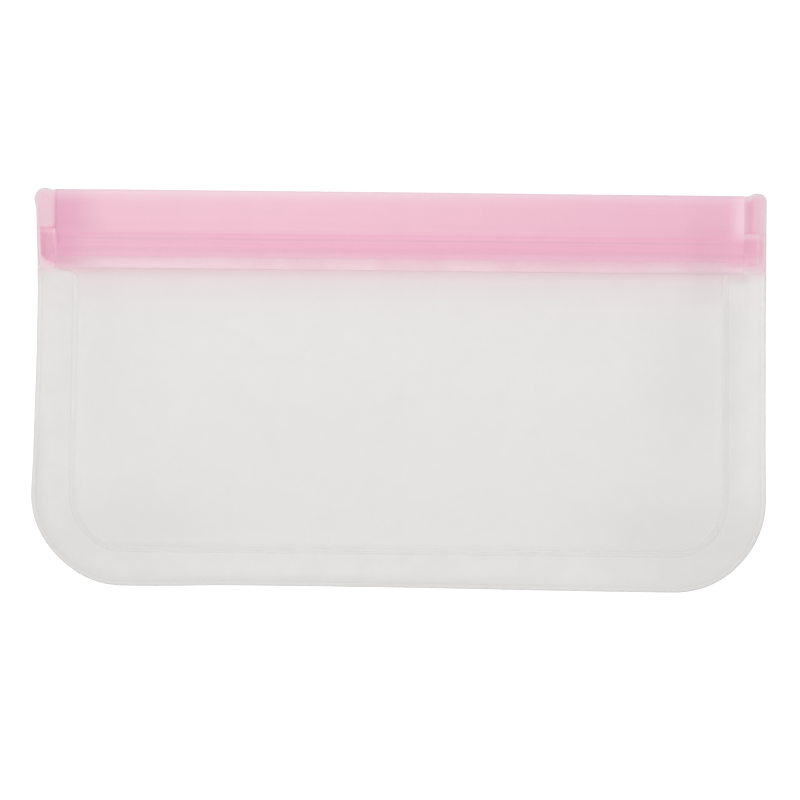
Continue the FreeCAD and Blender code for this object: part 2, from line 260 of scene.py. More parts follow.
def dome_height(x, y):
    """The outer face of the front wall: it swells from the seams and ends level with the strip."""
    beside, above = pocket_reach(x, y)
    below_zip = STRIP_EDGE - y
    zip_level = zip_foot(x)
    edge = 0.46 + seam_lift(y)
    edge += (zip_level - edge) * zip_reach(y)
    crown = FRONT_FILM_HIGH.z - 1.2 * (x / HALF_WIDE) ** 2
    ridge = zip_level + (crown - zip_level) * quarter_wave(below_zip / ZIP_SWELL)
    rise = swell(beside, SIDE_SWELL) * swell(above, BASE_SWELL)
    inside = smooth_step(beside / 25) * smooth_step(above / 25) * smooth_step(below_zip / 15)
    ripple = 0.2 * waves(x, y, 46, 3.7) + 0.04 * waves(x, y, 15, 8.1)
    return edge + (ridge - edge) * rise + ripple * inside


# ---------------- mesh helpers


def finish_piece(bm, name, material, nodes, body=None, blend_side=None, sharp=35):
    """Turns a shaped mesh into a piece of the bag that stands for the given CAD nodes."""
    bmesh.ops.recalc_face_normals(bm, faces=bm.faces)
    bmesh.ops.scale(bm, vec=(MM, MM, MM), verts=bm.verts)
    mesh = bpy.data.meshes.new(name)
    bm.to_mesh(mesh)
    bm.free()
    mesh.shade_smooth()
    mesh.set_sharp_from_angle(angle=math.radians(sharp))
    mesh.materials.append(material)
    piece = bpy.data.objects.new(name, mesh)
    bpy.context.scene.collection.objects.link(piece)
    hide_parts(*nodes)
    if blend_side:
        start = (blend_side * half_width(0, FILM_INSET) * MM, 0, 0)
        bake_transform(piece)
    else:
        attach(piece, body)
    return piece


def extrude_edges(bm, edges, moves):
    """Draws rows of faces from edges, one for each move, and returns the edges at the far side."""
    for move in moves:
        made = bmesh.ops.extrude_edge_only(bm, edges=edges)["geom"]
        verts = {g for g in made if isinstance(g, bmesh.types.BMVert)}
        bmesh.ops.translate(bm, vec=move, verts=list(verts))
        edges = [g for g in made if isinstance(g, bmesh.types.BMEdge) and verts.issuperset(g.verts)]
    return edges


def turn_edges(bm, edges, centre, steps):
    """Turns edges a quarter round an upright axis and returns the edges at the far side."""
    geom = list({v for e in edges for v in e.verts}) + list(edges)
    spun = bmesh.ops.spin(
        bm, geom=geom, cent=centre, axis=(0, 0, 1), angle=math.pi / 2, steps=steps, use_merge=False
    )
    return [g for g in spun["geom_last"] if isinstance(g, bmesh.types.BMEdge)]


# rows of faces of the border: down each side, round each corner and along the base
SIDE_ROWS = 32
CORNER_ROWS = 24
BASE_ROWS = 48


def sweep_border(section):
    """Carries a closed section down the left side, round the base and up the right side.

    The section is a list of corners, each an inset from the bag's edge and a height. The rows are
    fine just below the zip, where the pocket seam turns.
    """
    bm = bmesh.new()
    insets = bm.verts.layers.float.new("inset")
    corners = []
    for inset, height in section:
        corner = bm.verts.new((inset - HALF_WIDE, STRIP_EDGE, height))
        corner[insets] = inset
        corners.append(corner)
    first = bm.faces.new(corners)
    fine = [0.05 * n for n in range(1, 17)]
    coarse = [(STRIP_EDGE - CORNER_LEVEL - sum(fine)) / SIDE_ROWS] * SIDE_ROWS
    run = 2 * (HALF_WIDE - CORNER) / BASE_ROWS
    edges = extrude_edges(bm, list(first.edges), [(0, -step, 0) for step in fine + coarse])
    edges = turn_edges(bm, edges, (CORNER - HALF_WIDE, CORNER_LEVEL, 0), CORNER_ROWS)
    edges = extrude_edges(bm, edges, [(run, 0, 0)] * BASE_ROWS)
    edges = turn_edges(bm, edges, (HALF_WIDE - CORNER, CORNER_LEVEL, 0), CORNER_ROWS)
    edges = extrude_edges(bm, edges, [(0, step, 0) for step in coarse + fine[::-1]])
    bmesh.ops.contextual_create(bm, geom=edges)
    for vert in bm.verts:
        settle_border(vert, vert[insets])
    return bm


def settle_border(vert, inset):
    """Moves a swept corner to its place on the real outline and gives its height."""
    x, y, z = vert.co
    side = -1 if x < 0 else 1
    below = max(CORNER_LEVEL - y, 0)
    y -= below * (CORNER - inset * BASE_SHARE) / (CORNER - inset) - below
    x *= taper(y)
    x += side * seam_bend(side, y) * min(inset / SEAM_INSET, 1)
    stray_x, stray_y = cut_edge(x, y)
    # the upper face of the fused band is a little uneven
    middle = smooth_step((inset - RIM_WIDTH) / 3) * (1 - smooth_step((inset - 8) / 3))
    if z > 0.1:
        z += 0.05 * middle * (1 + waves(x, y, 21, 5.3))
    vert.co = (x + stray_x, y + stray_y, z + border_rise(x, y, inset))


def section_face(corners, radius):
    """A face across the zip, in the Y-Z plane, with its corners rounded."""
    bm = bmesh.new()
    face = bm.faces.new([bm.verts.new((0, y, z)) for y, z in corners])
    bmesh.ops.bevel(
        bm,
        geom=list(face.verts),
        affect="VERTICES",
        offset=radius,
        segments=2,
        profile=0.5,
        material=-1,
        clamp_overlap=True,
    )
    return bm


def draw_strip(bm, stops):
    """Draws a section along X through all the stops and closes its far end."""
    bmesh.ops.translate(bm, vec=(stops[0], 0, 0), verts=bm.verts)
    moves = [(after - before, 0, 0) for before, after in zip(stops, stops[1:])]
    bmesh.ops.contextual_create(bm, geom=extrude_edges(bm, list(bm.edges), moves))


def half_stops(side):
    """Places along X from the middle to one end of the strips, closer together at each stage."""
    end = zip_end(side) - END_GAP
    stops = [4.0 * n for n in range(21)] + [81.0 + n for n in range(15)]
    stops += [95.6 + 0.6 * n for n in range(7)]
    last = 99.4
    fine = 16
    return stops + [last + (end - last) * n / fine for n in range(1, fine + 1)]


def all_stops():
    """Places along X from the left end of the strips to the right one."""
    return [-stop for stop in reversed(half_stops(-1))] + half_stops(1)[1:]


def grid_patch(low, high, step, shape):
    """A sheet over a box, with shape giving the place of each of its points."""
    bm = bmesh.new()
    columns = max(round((high[0] - low[0]) / step), 1)
    rows = max(round((high[1] - low[1]) / step), 1)
    bmesh.ops.create_grid(bm, x_segments=columns, y_segments=rows, size=0.5)
    for vert in bm.verts:
        x = low[0] + (high[0] - low[0]) * (vert.co.x + 0.5)
        y = low[1] + (high[1] - low[1]) * (vert.co.y + 0.5)
        vert.co = shape(x, y)
    return bm


def turn_up(bm):
    """Makes the faces of a sheet look up."""
    bmesh.ops.recalc_face_normals(bm, faces=bm.faces)
    if sum(f.normal.z for f in bm.faces) < 0:
        bmesh.ops.reverse_faces(bm, faces=bm.faces)


def mirror_left(bm, side):
    """Puts a piece that was shaped for the right side on the left where side is negative."""
    if side < 0:
        bmesh.ops.scale(bm, vec=(-1, 1, 1), verts=bm.verts)


def depth_inside(x, y, low, high, radius):
    """How far a point lies inside a box with rounded corners: less than 0 outside it."""
    across = abs(x - (low[0] + high[0]) / 2) - (high[0] - low[0]) / 2 + radius
    along = abs(y - (low[1] + high[1]) / 2) - (high[1] - low[1]) / 2 + radius
    return radius - math.hypot(max(across, 0), max(along, 0)) - min(max(across, along), 0)


# ---------------- materials


class Shader:
    """A material's node tree, with short calls for the nodes that the finishes share."""

    def __init__(self, name):
        self.material = bpy.data.materials.new(name)
        self.material.use_nodes = True
        self.tree = self.material.node_tree
        self.tree.nodes.clear()
        self.place = self.add("ShaderNodeTexCoord").outputs["Object"]

    def add(self, kind, **settings):
        """A new node with some of its settings changed."""
        node = self.tree.nodes.new(kind)
        for name, value in settings.items():
            setattr(node, name, value)
        return node

    def link(self, value, socket):
        """Feeds a socket with another node's output, or sets it to a plain value."""
        if isinstance(value, bpy.types.NodeSocket):
            self.tree.links.new(value, socket)
        else:
            socket.default_value = value

    def axis(self, name):
        """One of the piece's own coordinates, in metres."""
        split = self.add("ShaderNodeSeparateXYZ")
        self.link(self.place, split.inputs[0])
        return split.outputs[name]

    def attribute(self, name):
        """A number that was written on the piece's points while it was shaped."""
        return self.add("ShaderNodeAttribute", attribute_name=name).outputs["Fac"]

    def math(self, operation, first, second=0.0):
        """The result of one operation on two numbers."""
        node = self.add("ShaderNodeMath", operation=operation)
        self.link(first, node.inputs[0])
        self.link(second, node.inputs[1])
        return node.outputs[0]

    def product(self, *shares):
        """All the shares multiplied together."""
        total = shares[0]
        for share in shares[1:]:
            total = self.math("MULTIPLY", total, share)
        return total

    def ramp(self, value, low, high, start=0.0, end=1.0):
        """Goes smoothly from start to end as value goes from low to high."""
        node = self.add("ShaderNodeMapRange", interpolation_type="SMOOTHSTEP")
        for socket, number in zip(node.inputs, (value, low, high, start, end)):
            self.link(number, socket)
        return node.outputs[0]

    def fade(self, place, low, high, start=0.0, end=1.0):
        """A ramp between two places on the bag, in millimetres."""
        return self.ramp(place, low * MM, high * MM, start, end)

    def blend(self, share, first, second, kind="MIX"):
        """A colour between first and second."""
        node = self.add("ShaderNodeMix", data_type="RGBA", blend_type=kind)
        self.link(share, node.inputs["Factor"])
        self.link(first, node.inputs[6])
        self.link(second, node.inputs[7])
        return node.outputs[2]

    def coats(self, colour, *layers, kind="MIX"):
        """A colour under several coats, each given by its share and its own colour."""
        for share, coat in layers:
            colour = self.blend(share, colour, coat, kind)
        return colour

    def scale(self, value, stops):
        """A colour read from a scale: stops are places from 0 to 1, each with its colour."""
        node = self.add("ShaderNodeValToRGB")
        places = node.color_ramp.elements
        while len(places) < len(stops):
            places.new(1.0)
        for place, (position, colour) in zip(places, stops):
            place.position = position
            place.color = colour
        self.link(value, node.inputs[0])
        return node.outputs[0]

    def noise(self, per_metre, detail=3.0, stretch=(1, 1, 1)):
        """A noise pattern fixed to the piece."""
        mapping = self.add("ShaderNodeMapping")
        self.link(self.place, mapping.inputs["Vector"])
        mapping.inputs["Scale"].default_value = stretch
        node = self.add("ShaderNodeTexNoise")
        self.link(mapping.outputs[0], node.inputs["Vector"])
        self.link(per_metre, node.inputs["Scale"])
        self.link(detail, node.inputs["Detail"])
        return node.outputs["Fac"]

    def spread(self, pattern, start, end):
        """A noise pattern spread over the range from start to end."""
        return self.ramp(pattern, 0.3, 0.7, start, end)

    def frost(self, colour, cover, roughness, tint=(1, 1, 1)):
        """Finishes a frosted film: its fine grain takes the roughness through a range."""
        grain = self.noise(FROST_GRAIN, 2)
        rough = self.spread(grain, *roughness)
        return self.finish(colour, cover, rough, grain, FINE_RELIEF, tint)

    def surface(self, look):
        """Makes a shader the look of the material, and gives the material back."""
        output = self.add("ShaderNodeOutputMaterial")
        self.link(look, output.inputs["Surface"])
        return self.material

    def finish(self, colour, cover, roughness, height, relief_depth, tint):
        """A translucent plastic: the share cover is lit plastic and the rest lets light pass."""
        body = self.add("ShaderNodeBsdfPrincipled")
        self.link(colour, body.inputs["Base Color"])
        self.link(roughness, body.inputs["Roughness"])
        body.inputs["IOR"].default_value = PLASTIC_IOR
        relief = self.add("ShaderNodeBump")
        relief.inputs["Strength"].default_value = 1.0
        relief.inputs["Distance"].default_value = relief_depth
        self.link(height, relief.inputs["Height"])
        self.link(relief.outputs[0], body.inputs["Normal"])
        clear = self.add("ShaderNodeBsdfTransparent")
        clear.inputs["Color"].default_value = (*tint, 1)
        both = self.add("ShaderNodeMixShader")
        self.link(cover, both.inputs["Fac"])
        self.link(clear.outputs[0], both.inputs[1])
        self.link(body.outputs[0], both.inputs[2])
        return self.surface(both.outputs[0])


PLASTIC_IOR = 1.49
FROST_GRAIN = 2600  # grains to the metre
FINE_RELIEF = 0.00001  # depth of the frosting and of the die lines, in metres
MELTED_RELIEF = 0.00003

FILM_MILK = (0.871, 0.857, 0.845, 1)
FILM_CLOUD = (0.887, 0.873, 0.861, 1)
FILM_LIT = (0.905, 0.89, 0.88, 1)
FILM_DIM = (0.832, 0.817, 0.805, 1)
FILM_PINK_GLOW = (0.89, 0.63, 0.70, 1)
PRESSED_MILK = (0.76, 0.745, 0.73, 1)
PRESSED_PALE = (0.795, 0.78, 0.765, 1)
PRESSED_GREY_SHADE = (0.715, 0.70, 0.685, 1)
PRESSED_DIM = (0.722, 0.707, 0.692, 1)
PRESSED_HIGHLIGHT = (0.84, 0.825, 0.81, 1)
PRESSED_PINK_GLOW = (0.785, 0.555, 0.62, 1)
LIP_PINK = (0.91, 0.582, 0.69, 1)
LIP_PALE = (0.905, 0.63, 0.722, 1)
LIP_EDGE_HIGHLIGHT = (0.89, 0.70, 0.77, 1)
LIP_RIM = (0.86, 0.765, 0.80, 1)
LIP_ROOT_PINK = (0.893, 0.557, 0.67, 1)
TRACK_HIGHLIGHT = (0.915, 0.505, 0.645, 1)
TRACK_PINK = (0.88, 0.478, 0.618, 1)
TRACK_PALE = (0.90, 0.535, 0.665, 1)
TRACK_DEEP_SHADE = (0.872, 0.472, 0.612, 1)
TRACK_LOW = (0.87, 0.527, 0.648, 1)
FUSED_PINK = (0.92, 0.71, 0.775, 1)
FUSED_PALE = (0.96, 0.80, 0.875, 1)
FUSED_DEEP = (0.83, 0.465, 0.595, 1)
MELT_RIM = (0.70, 0.64, 0.66, 1)
MELT_EDGE = (0.71, 0.575, 0.625, 1)
MELT_CLEAR = (0.83, 0.68, 0.72, 1)
MELT_BLUSH = (0.81, 0.60, 0.66, 1)
MELT_PALE = (0.8, 0.53, 0.614, 1)
MELT_PINK = (0.765, 0.39, 0.512, 1)
MELT_DEEP = (0.68, 0.32, 0.435, 1)
DEEPEN = (0.96, 0.84, 0.91, 1)
END_SHADE = (0.89, 0.74, 0.83, 1)
LIP_HIGHLIGHT = (0.96, 0.76, 0.84, 1)


def zip_glow(shader, near, far):
    """The share of painted pink glow that a film takes from the zip beside it."""
    y = shader.axis("Y")
    close = shader.fade(y, STRIP_EDGE - 3.6, STRIP_EDGE + 0.8, 0, near)
    wide = shader.fade(y, STRIP_EDGE - 15, STRIP_EDGE + 1, 0, far)
    return shader.math("ADD", close, wide)


def corner_shade(shader, x, y):
    """How near a point is to the two base corners, where shade is painted as the light falls off
    there.
    """
    far = shader.fade(shader.math("ABSOLUTE", x), 50, 90, 0.1, 1)
    low = shader.fade(y, -46, -24, 1, 0)
    side = shader.fade(x, -50, 50, 0.65, 1)
    return shader.product(far, low, side)


def frosted_film():
    """Milky film with a painted pink glow beside the zip."""
    shader = Shader("frosted_film")
    x = shader.axis("X")
    y = shader.axis("Y")
    far = shader.math("ABSOLUTE", x)
    cloud = shader.blend(shader.noise(35, 4), FILM_MILK, FILM_CLOUD)
    # the low middle of the wall faces the light, and its foot turns away from it
    lit = shader.product(shader.fade(far, 30, 80, 0.8, 0), shader.fade(y, -42, -10, 1, 0))
    foot = shader.fade(y, -47, -45.8, 0.19, 0)
    cloud = shader.coats(
        cloud, (lit, FILM_LIT), (corner_shade(shader, x, y), FILM_DIM), (foot, PRESSED_GREY_SHADE)
    )
    # painted pink glow near the zip, a little stronger on the left
    near = shader.fade(x, -60, -10, 0.58, 0.47)
    colour = shader.blend(zip_glow(shader, near, 0.25), cloud, FILM_PINK_GLOW)
    cover = shader.spread(shader.noise(90, 3), 0.55, 0.57)
    return shader.frost(colour, cover, (0.55, 0.66))


def pressed_film():
    """Both films fused: denser, a little greyer in the edge bead; highlights, shade and a pink glow
    are painted.
    """
    shader = Shader("pressed_film")
    x = shader.axis("X")
    y = shader.axis("Y")
    inset = shader.attribute("inset")
    drift = shader.fade(x, 97, 107, 0, 0.8)
    cloud = shader.math("ADD", drift, shader.spread(shader.noise(60, 4), 0.05, 0.25))
    cloud = shader.blend(cloud, PRESSED_MILK, PRESSED_PALE)
    # darker beside the bead, towards the left and in the lower half of the bag
    edge = shader.product(
        shader.ramp(inset, 1.0, 5.6, 1, 0),
        shader.ramp(inset, 0.3, 1.0, 0.1, 1),
        shader.fade(x, 0, 100, 1, 0.2),
        shader.fade(y, -22, -4, 1, 0),
    )
    # painted highlight on the seam's double line up the left side, and painted shade on it along
    # the base
    from_line = shader.math("ABSOLUTE", shader.math("SUBTRACT", inset, SEAM_INSET + 0.85))
    seam_highlight = shader.product(
        shader.fade(x, -50, 50, 1, 0),
        shader.fade(y, -18, -4),
        shader.ramp(from_line, 0.1, 0.55, 0.4, 0),
    )
    seam_shade = shader.product(
        shader.fade(y, -46, -42, 1, 0), shader.ramp(from_line, 0.3, 1.1, 0.35, 0)
    )
    # painted highlight on the upper right corner beside the bead, and painted shade where it meets
    # the zip
    lit = shader.product(
        shader.fade(x, 103.5, 106, 0, 0.75),
        shader.fade(x, 108, 108.8, 1, 0),
        shader.fade(y, 19, 26),
    )
    tucked = shader.product(shader.fade(x, 96.2, 98.5), shader.fade(x, 102.5, 104.6, 1, 0))
    shade = shader.product(tucked, shader.fade(y, 31.6, 33.8, 0, 0.95))
    cloud = shader.coats(
        cloud,
        (corner_shade(shader, x, y), PRESSED_DIM),
        (edge, PRESSED_GREY_SHADE),
        (seam_highlight, PRESSED_HIGHLIGHT),
        (seam_shade, PRESSED_GREY_SHADE),
        (lit, PRESSED_HIGHLIGHT),
        (shade, PRESSED_GREY_SHADE),
    )
    # painted pink glow from the zip, stronger in the corner where it meets the zip
    near = shader.math("ADD", shader.fade(x, 0, 100, 0.45, 0.3), shader.product(tucked, 0.35))
    colour = shader.blend(zip_glow(shader, near, 0.1), cloud, PRESSED_PINK_GLOW)
    cover = shader.spread(shader.noise(120, 3), 0.8, 0.83)
    return shader.frost(colour, cover, (0.52, 0.62))


def zip_plastic():
    """Pink extruded plastic: pale at the lip, deeper over the tracks, with fine die lines."""
    shader = Shader("zip_pink")
    depth = LIP_EDGE - STRIP_EDGE
    x = shader.axis("X")
    y = shader.axis("Y")
    across = shader.math("MULTIPLY", y, 1 / (depth * MM))
    across = shader.math("SUBTRACT", across, STRIP_EDGE / depth)
    # the colours at distances from the strip's lower edge: over the tracks, over their crushed
    # ends, and over the lip; over the tracks the pink is deeper where the plastic is thicker, with
    # painted highlight and shade lines along its ridges
    lines = [(0, TRACK_LOW), (4.25, TRACK_LOW), (5.55, TRACK_PINK), (6.15, TRACK_DEEP_SHADE)]
    lines += [(6.75, TRACK_PINK), (8.15, TRACK_PINK), (8.45, TRACK_PALE), (8.75, TRACK_DEEP_SHADE)]
    lines += [(9.15, TRACK_DEEP_SHADE), (9.45, TRACK_HIGHLIGHT), (9.75, TRACK_HIGHLIGHT), (10.05, TRACK_PINK)]
    lines += [(10.45, TRACK_PINK)]
    crushed = [(0, LIP_PALE), (3.65, TRACK_PALE), (6.15, TRACK_PINK), (9.65, TRACK_PINK)]
    crushed += [(10.25, TRACK_HIGHLIGHT)]
    # the lip pales towards its free edge: a painted highlight where it curves over, then its greyer
    # cut edge
    lip = [(11.05, LIP_ROOT_PINK), (13.05, LIP_ROOT_PINK), (15.05, LIP_PINK)]
    lip += [(19.85, LIP_PINK), (21.65, LIP_PALE), (22.95, LIP_EDGE_HIGHLIGHT)]
    lip += [(23.4, LIP_EDGE_HIGHLIGHT), (depth, LIP_RIM)]
    drawn = shader.scale(across, [(up / depth, colour) for up, colour in lines + lip])
    plain = shader.scale(across, [(up / depth, colour) for up, colour in crushed + lip])
    at_end = shader.fade(shader.math("ABSOLUTE", x), 92, 99.5)
    colour = shader.blend(at_end, drawn, plain)
    on_lip = shader.fade(y, 44, 48)
    on_tracks = shader.math("SUBTRACT", 1.0, on_lip)
    # painted sheen from the left fades towards the right, so the pink deepens there; it is also
    # deeper where the ends are squashed
    drift = shader.product(shader.fade(x, -40, 100, 0, 0.55), shader.ramp(on_lip, 0, 1, 0.3, 1))
    squashed = shader.product(at_end, shader.fade(x, -50, 50, 0.25, 0.08))
    colour = shader.blend(shader.math("ADD", drift, squashed), colour, DEEPEN, "MULTIPLY")
    # painted highlight on the tracks at their right end, and painted sheen that makes them paler on
    # the left
    lit = shader.product(
        shader.fade(x, 86, 93, 0, 0.5),
        shader.fade(y, 40.5, 42),
        shader.fade(y, 47.5, 49.5, 1, 0),
    )
    thin = shader.product(shader.fade(x, -80, -30, 0.5, 0), on_tracks)
    colour = shader.coats(colour, (lit, TRACK_HIGHLIGHT), (thin, TRACK_PALE))
    # painted shade at the left end: over the tracks, on the bent lip and in the crease where the
    # crushed end starts
    track_end_shade = shader.product(
        shader.fade(x, -103, -92, 0.7, 0), on_tracks, shader.fade(x, -103.4, -102.6)
    )
    bent_lip_shade = shader.product(
        shader.fade(x, -103, -86, 1, 0),
        on_lip,
        shader.fade(y, 46, 50.5, 0.72, 1),
        shader.fade(y, 53.5, 58.8, 1, 0.25),
    )
    from_end = shader.math("ADD", x, (STRIP_END - 0.1) * MM)
    from_end = shader.math("SUBTRACT", from_end, shader.ramp(on_lip, 0, 1, 0.9 * MM, 0))
    crease = shader.product(
        shader.fade(shader.math("ABSOLUTE", from_end), 0, 0.9, 0.45, 0),
        shader.fade(y, 41.5, 43.5),
    )
    colour = shader.coats(
        colour, (track_end_shade, END_SHADE), (bent_lip_shade, END_SHADE), (crease, END_SHADE), kind="MULTIPLY"
    )
    # painted highlight on the lip at its right end, where it rises to the crushed end
    lip_end_highlight = shader.product(shader.fade(x, 97.2, 102.2, 0, 0.65), on_lip)
    colour = shader.blend(lip_end_highlight, colour, LIP_HIGHLIGHT)
    streaks = shader.noise(60, 3, (0.4, 60, 60))
    colour = shader.blend(shader.ramp(streaks, 0.35, 0.65, 0, 0.08), colour, DEEPEN, "MULTIPLY")
    cover = shader.spread(shader.noise(150, 3), 0.735, 0.75)
    roughness = shader.spread(streaks, 0.4, 0.46)
    return shader.finish(colour, cover, roughness, streaks, FINE_RELIEF, (0.96, 0.76, 0.83))


def fused_film():
    """Film fused over the flange of the zip: the pink shows through it."""
    shader = Shader("fused_film_pink")
    x = shader.axis("X")
    y = shader.axis("Y")
    cloud = shader.noise(80, 4)
    colour = shader.blend(shader.fade(y, STRIP_EDGE, FILM_EDGE), FUSED_PINK, LIP_PALE)
    # paler towards both ends of its lower edge
    thin = shader.product(shader.fade(x, -100, -88), shader.fade(x, -80, -45, 0.4, 0))
    thin = shader.math("ADD", thin, shader.fade(x, 86, 96, 0, 0.3))
    thin = shader.product(thin, shader.fade(y, 37.2, 38.6, 1, 0.15))
    # deeper beside the tracks on the right, and where each end has melted
    thick = shader.product(
        shader.fade(x, 0, 50, 0, 0.16),
        shader.fade(x, 84, 94, 1, 0),
        shader.fade(y, 36.4, 38.2),
    )
    left_melt = shader.product(
        shader.fade(x, -102, -90, 0.8, 0), shader.fade(y, 35.5, 37.5, 0.4, 1)
    )
    right_melt = shader.product(
        shader.fade(x, 95.5, 100.5, 0, 0.42), shader.fade(y, 37, 38.2)
    )
    # painted shade along the lower edge on the right, where it turns down to the wall
    lower_edge_shade = shader.product(
        shader.fade(x, 65, 80, 0, 0.32), shader.fade(y, 35.8, 36.7, 1, 0)
    )
    colour = shader.coats(
        colour,
        (shader.spread(cloud, 0, 0.15), FILM_MILK),
        (thin, FUSED_PALE),
        (thick, FUSED_DEEP),
        (left_melt, FUSED_DEEP),
        (right_melt, FUSED_DEEP),
        (lower_edge_shade, MELT_RIM),
    )
    cover = shader.spread(cloud, 0.56, 0.62)
    return shader.frost(colour, cover, (0.4, 0.5), (1, 0.97, 0.98))


def melted_end(name, rim, cover_low, cover_high):
    """Crushed pink plastic in a margin of film: the tone of each point says how pink it is."""
    shader = Shader(name)
    tone = shader.attribute("tone")
    stops = [(0, rim), (0.06, MELT_CLEAR), (0.25, MELT_BLUSH), (0.5, MELT_PALE)]
    stops += [(0.75, MELT_PINK), (1, MELT_DEEP)]
    colour = shader.scale(tone, stops)
    grain = shader.noise(900, 3)
    colour = shader.blend(shader.ramp(grain, 0.35, 0.65, 0, 0.1), colour, DEEPEN, "MULTIPLY")
    cover = shader.ramp(tone, 0, 0.6, cover_low, cover_high)
    roughness = shader.spread(grain, 0.45, 0.55)
    return shader.finish(colour, cover, roughness, grain, MELTED_RELIEF, (0.98, 0.9, 0.93))


FILM_FINISH = frosted_film()
BORDER_FINISH = pressed_film()
STRIP_FINISH = zip_plastic()
WELD_FINISH = fused_film()
LIP_END_FINISH = melted_end("pressed_lip_end", MELT_RIM, 0.78, 0.86)
TRACK_END_FINISH = melted_end("crushed_track_end", MELT_EDGE, 0.8, 0.92)


# ---------------- pressed border


def make_border():
    """The edge bead, the wide fused band and the two fine lines of the pocket seam.

    Each section lists its corners from the bag's edge inwards, then back along the table.
    """
    rim = [(0.05, 0), (0, 0.25), (0.12, 0.5), (0.42, 0.62), (0.85, 0.64), (1.15, 0.6)]
    rim += [(RIM_WIDTH - ZONE_GAP, 0.55), (RIM_WIDTH - ZONE_GAP, 0)]
    band = [(RIM_WIDTH, 0), (RIM_WIDTH, 0.55), (1.7, 0.58), (2.5, 0.6), (4.5, 0.6), (7, 0.58)]
    band += [(9.5, 0.57), (10.7, 0.57), (SEAM_INSET - 0.3, 0.55), (SEAM_INSET - ZONE_GAP, 0.51)]
    band += [(SEAM_INSET - ZONE_GAP, 0), (9.5, 0), (7, 0), (4.5, 0)]
    seam = [(SEAM_INSET, 0), (SEAM_INSET, 0.51), (SEAM_INSET + 0.35, 0.55)]
    seam += [(SEAM_INSET + 0.7, 0.5), (SEAM_INSET + 1.0, 0.5), (SEAM_INSET + 1.35, 0.55)]
    seam += [(FILM_INSET - ZONE_GAP, 0.47), (FILM_INSET - ZONE_GAP, 0)]
    for name, node, section in (
        ("edge_bead", "edge_rim", rim),
        ("border_band", "weld_border", band),
        ("seam_lines", "pocket_seam", seam),
    ):
        finish_piece(sweep_border(section), name, BORDER_FINISH, [node], "back_wall")


# ---------------- films

FILM_ROWS = 96  # rows of faces from the base seam to the zip


def film_grid(low_share, columns, place):
    """A film over the pocket from low_share of its half width to the seam.

    Its rows crowd together at the base and at the zip, where the seam turns, and place gives each
    of its points.
    """
    bm = bmesh.new()
    bmesh.ops.create_grid(bm, x_segments=columns, y_segments=FILM_ROWS, size=0.5)
    for vert in bm.verts:
        across = low_share + (1 - low_share) * (vert.co.x + 0.5)
        up = smooth_step(vert.co.y + 0.5)
        y = POCKET_BASE + (STRIP_EDGE - POCKET_BASE) * up
        vert.co = place(across, y)
    turn_up(bm)
    bmesh.ops.solidify(bm, geom=list(bm.faces), thickness=WALL)
    return bm


def film_place(across, y, height):
    """A point of a film at the share across of the pocket's half width, lapped by the seam."""
    side = -1 if across < 0 else 1
    lap = 0.12
    x = across * (half_width(y, FILM_INSET - lap) + seam_bend(side, y))
    return x, y, height(x, y)


def make_front_film():
    """The domed wall, in two halves that meet in the middle and stay fused at the sides."""
    for name, side in SIDES:
        bm = film_grid(0, 64, lambda share, y: film_place(side * share, y, dome_height))
        finish_piece(
            bm, f"front_wall_{name}", FILM_FINISH, ["front_film"], blend_side=side
        )


def back_height(x, y):
    """The back wall lies on the table and curves up to the seam."""
    near = 1 - smooth_step(min(pocket_reach(x, y)) / 16)
    rest = WALL + 0.03 + 0.05 * (1 + waves(x, y, 30, 1.9)) * (1 - near)
    return rest + border_rise(x, y, FILM_INSET) * near


def make_back_film():
    """The flat wall, in one sheet."""
    bm = film_grid(-1, 110, lambda share, y: film_place(share, y, back_height))
    finish_piece(bm, "back_wall_film", FILM_FINISH, ["back_film"], "back_wall")


# ---------------- zip strips

# half widths of the beads on the front strip and of the channels on the back one
NECK = 0.35
HEAD_TIP = 0.3
HEAD = 0.6
HOOK_MOUTH = 0.7
GROOVE = 0.95
CHANNEL = 1.4


def both_sides(line, half, first):
    """The outline of a track: half of it on the first side of its line, then the other half.

    The half is a list of corners, each a distance from the line and a height.
    """
    outline = [(line + first * away, height) for away, height in half]
    return outline + [(line - first * away, height) for away, height in reversed(half)]


def front_section():
    """The front strip cut across: lip, two beads on their necks, and the flange for the film.

    The outer face carries the low ridges that the tracks leave on it: each has its distance from
    the strip's lower edge and its height.
    """
    top = FRONT_TOP
    under = top - WEB
    foot = FRONT_LOW.z
    ridges = [(0.05, 0), (1.25, 0), (4.05, 0), (4.45, -0.06), (5.65, -0.07), (6.05, -0.05)]
    ridges += [(6.55, 0.01), (7.05, 0), (7.55, 0), (8.05, 0.05), (8.35, 0.04), (8.75, -0.05)]
    ridges += [(9.25, -0.02), (9.75, 0), (10.25, 0.04), (10.75, 0.08), (11.15, 0.04), (11.55, 0)]
    shape = [(STRIP_EDGE, under), (STRIP_EDGE, top)]
    shape += [(STRIP_EDGE + up, top + rise) for up, rise in ridges]
    rows = 9
    root = STRIP_EDGE + 12.25
    edge = LIP_EDGE + 0.05
    lip = [root + (edge - 1 - root) * n / rows for n in range(rows + 1)]
    shape += [(y, top) for y in lip]
    shape += [(edge - 0.4, top - 0.04), (edge, top - 0.16), (edge, under + 0.12)]
    shape += [(y, under) for y in reversed(lip)]
    bead = [(NECK, under), (NECK, foot + 0.9), (HEAD, foot + 0.75), (HEAD, foot + 0.3)]
    bead += [(HEAD_TIP, foot)]
    for line in TRACK_LINES:
        shape += both_sides(line, bead, 1)
    return shape


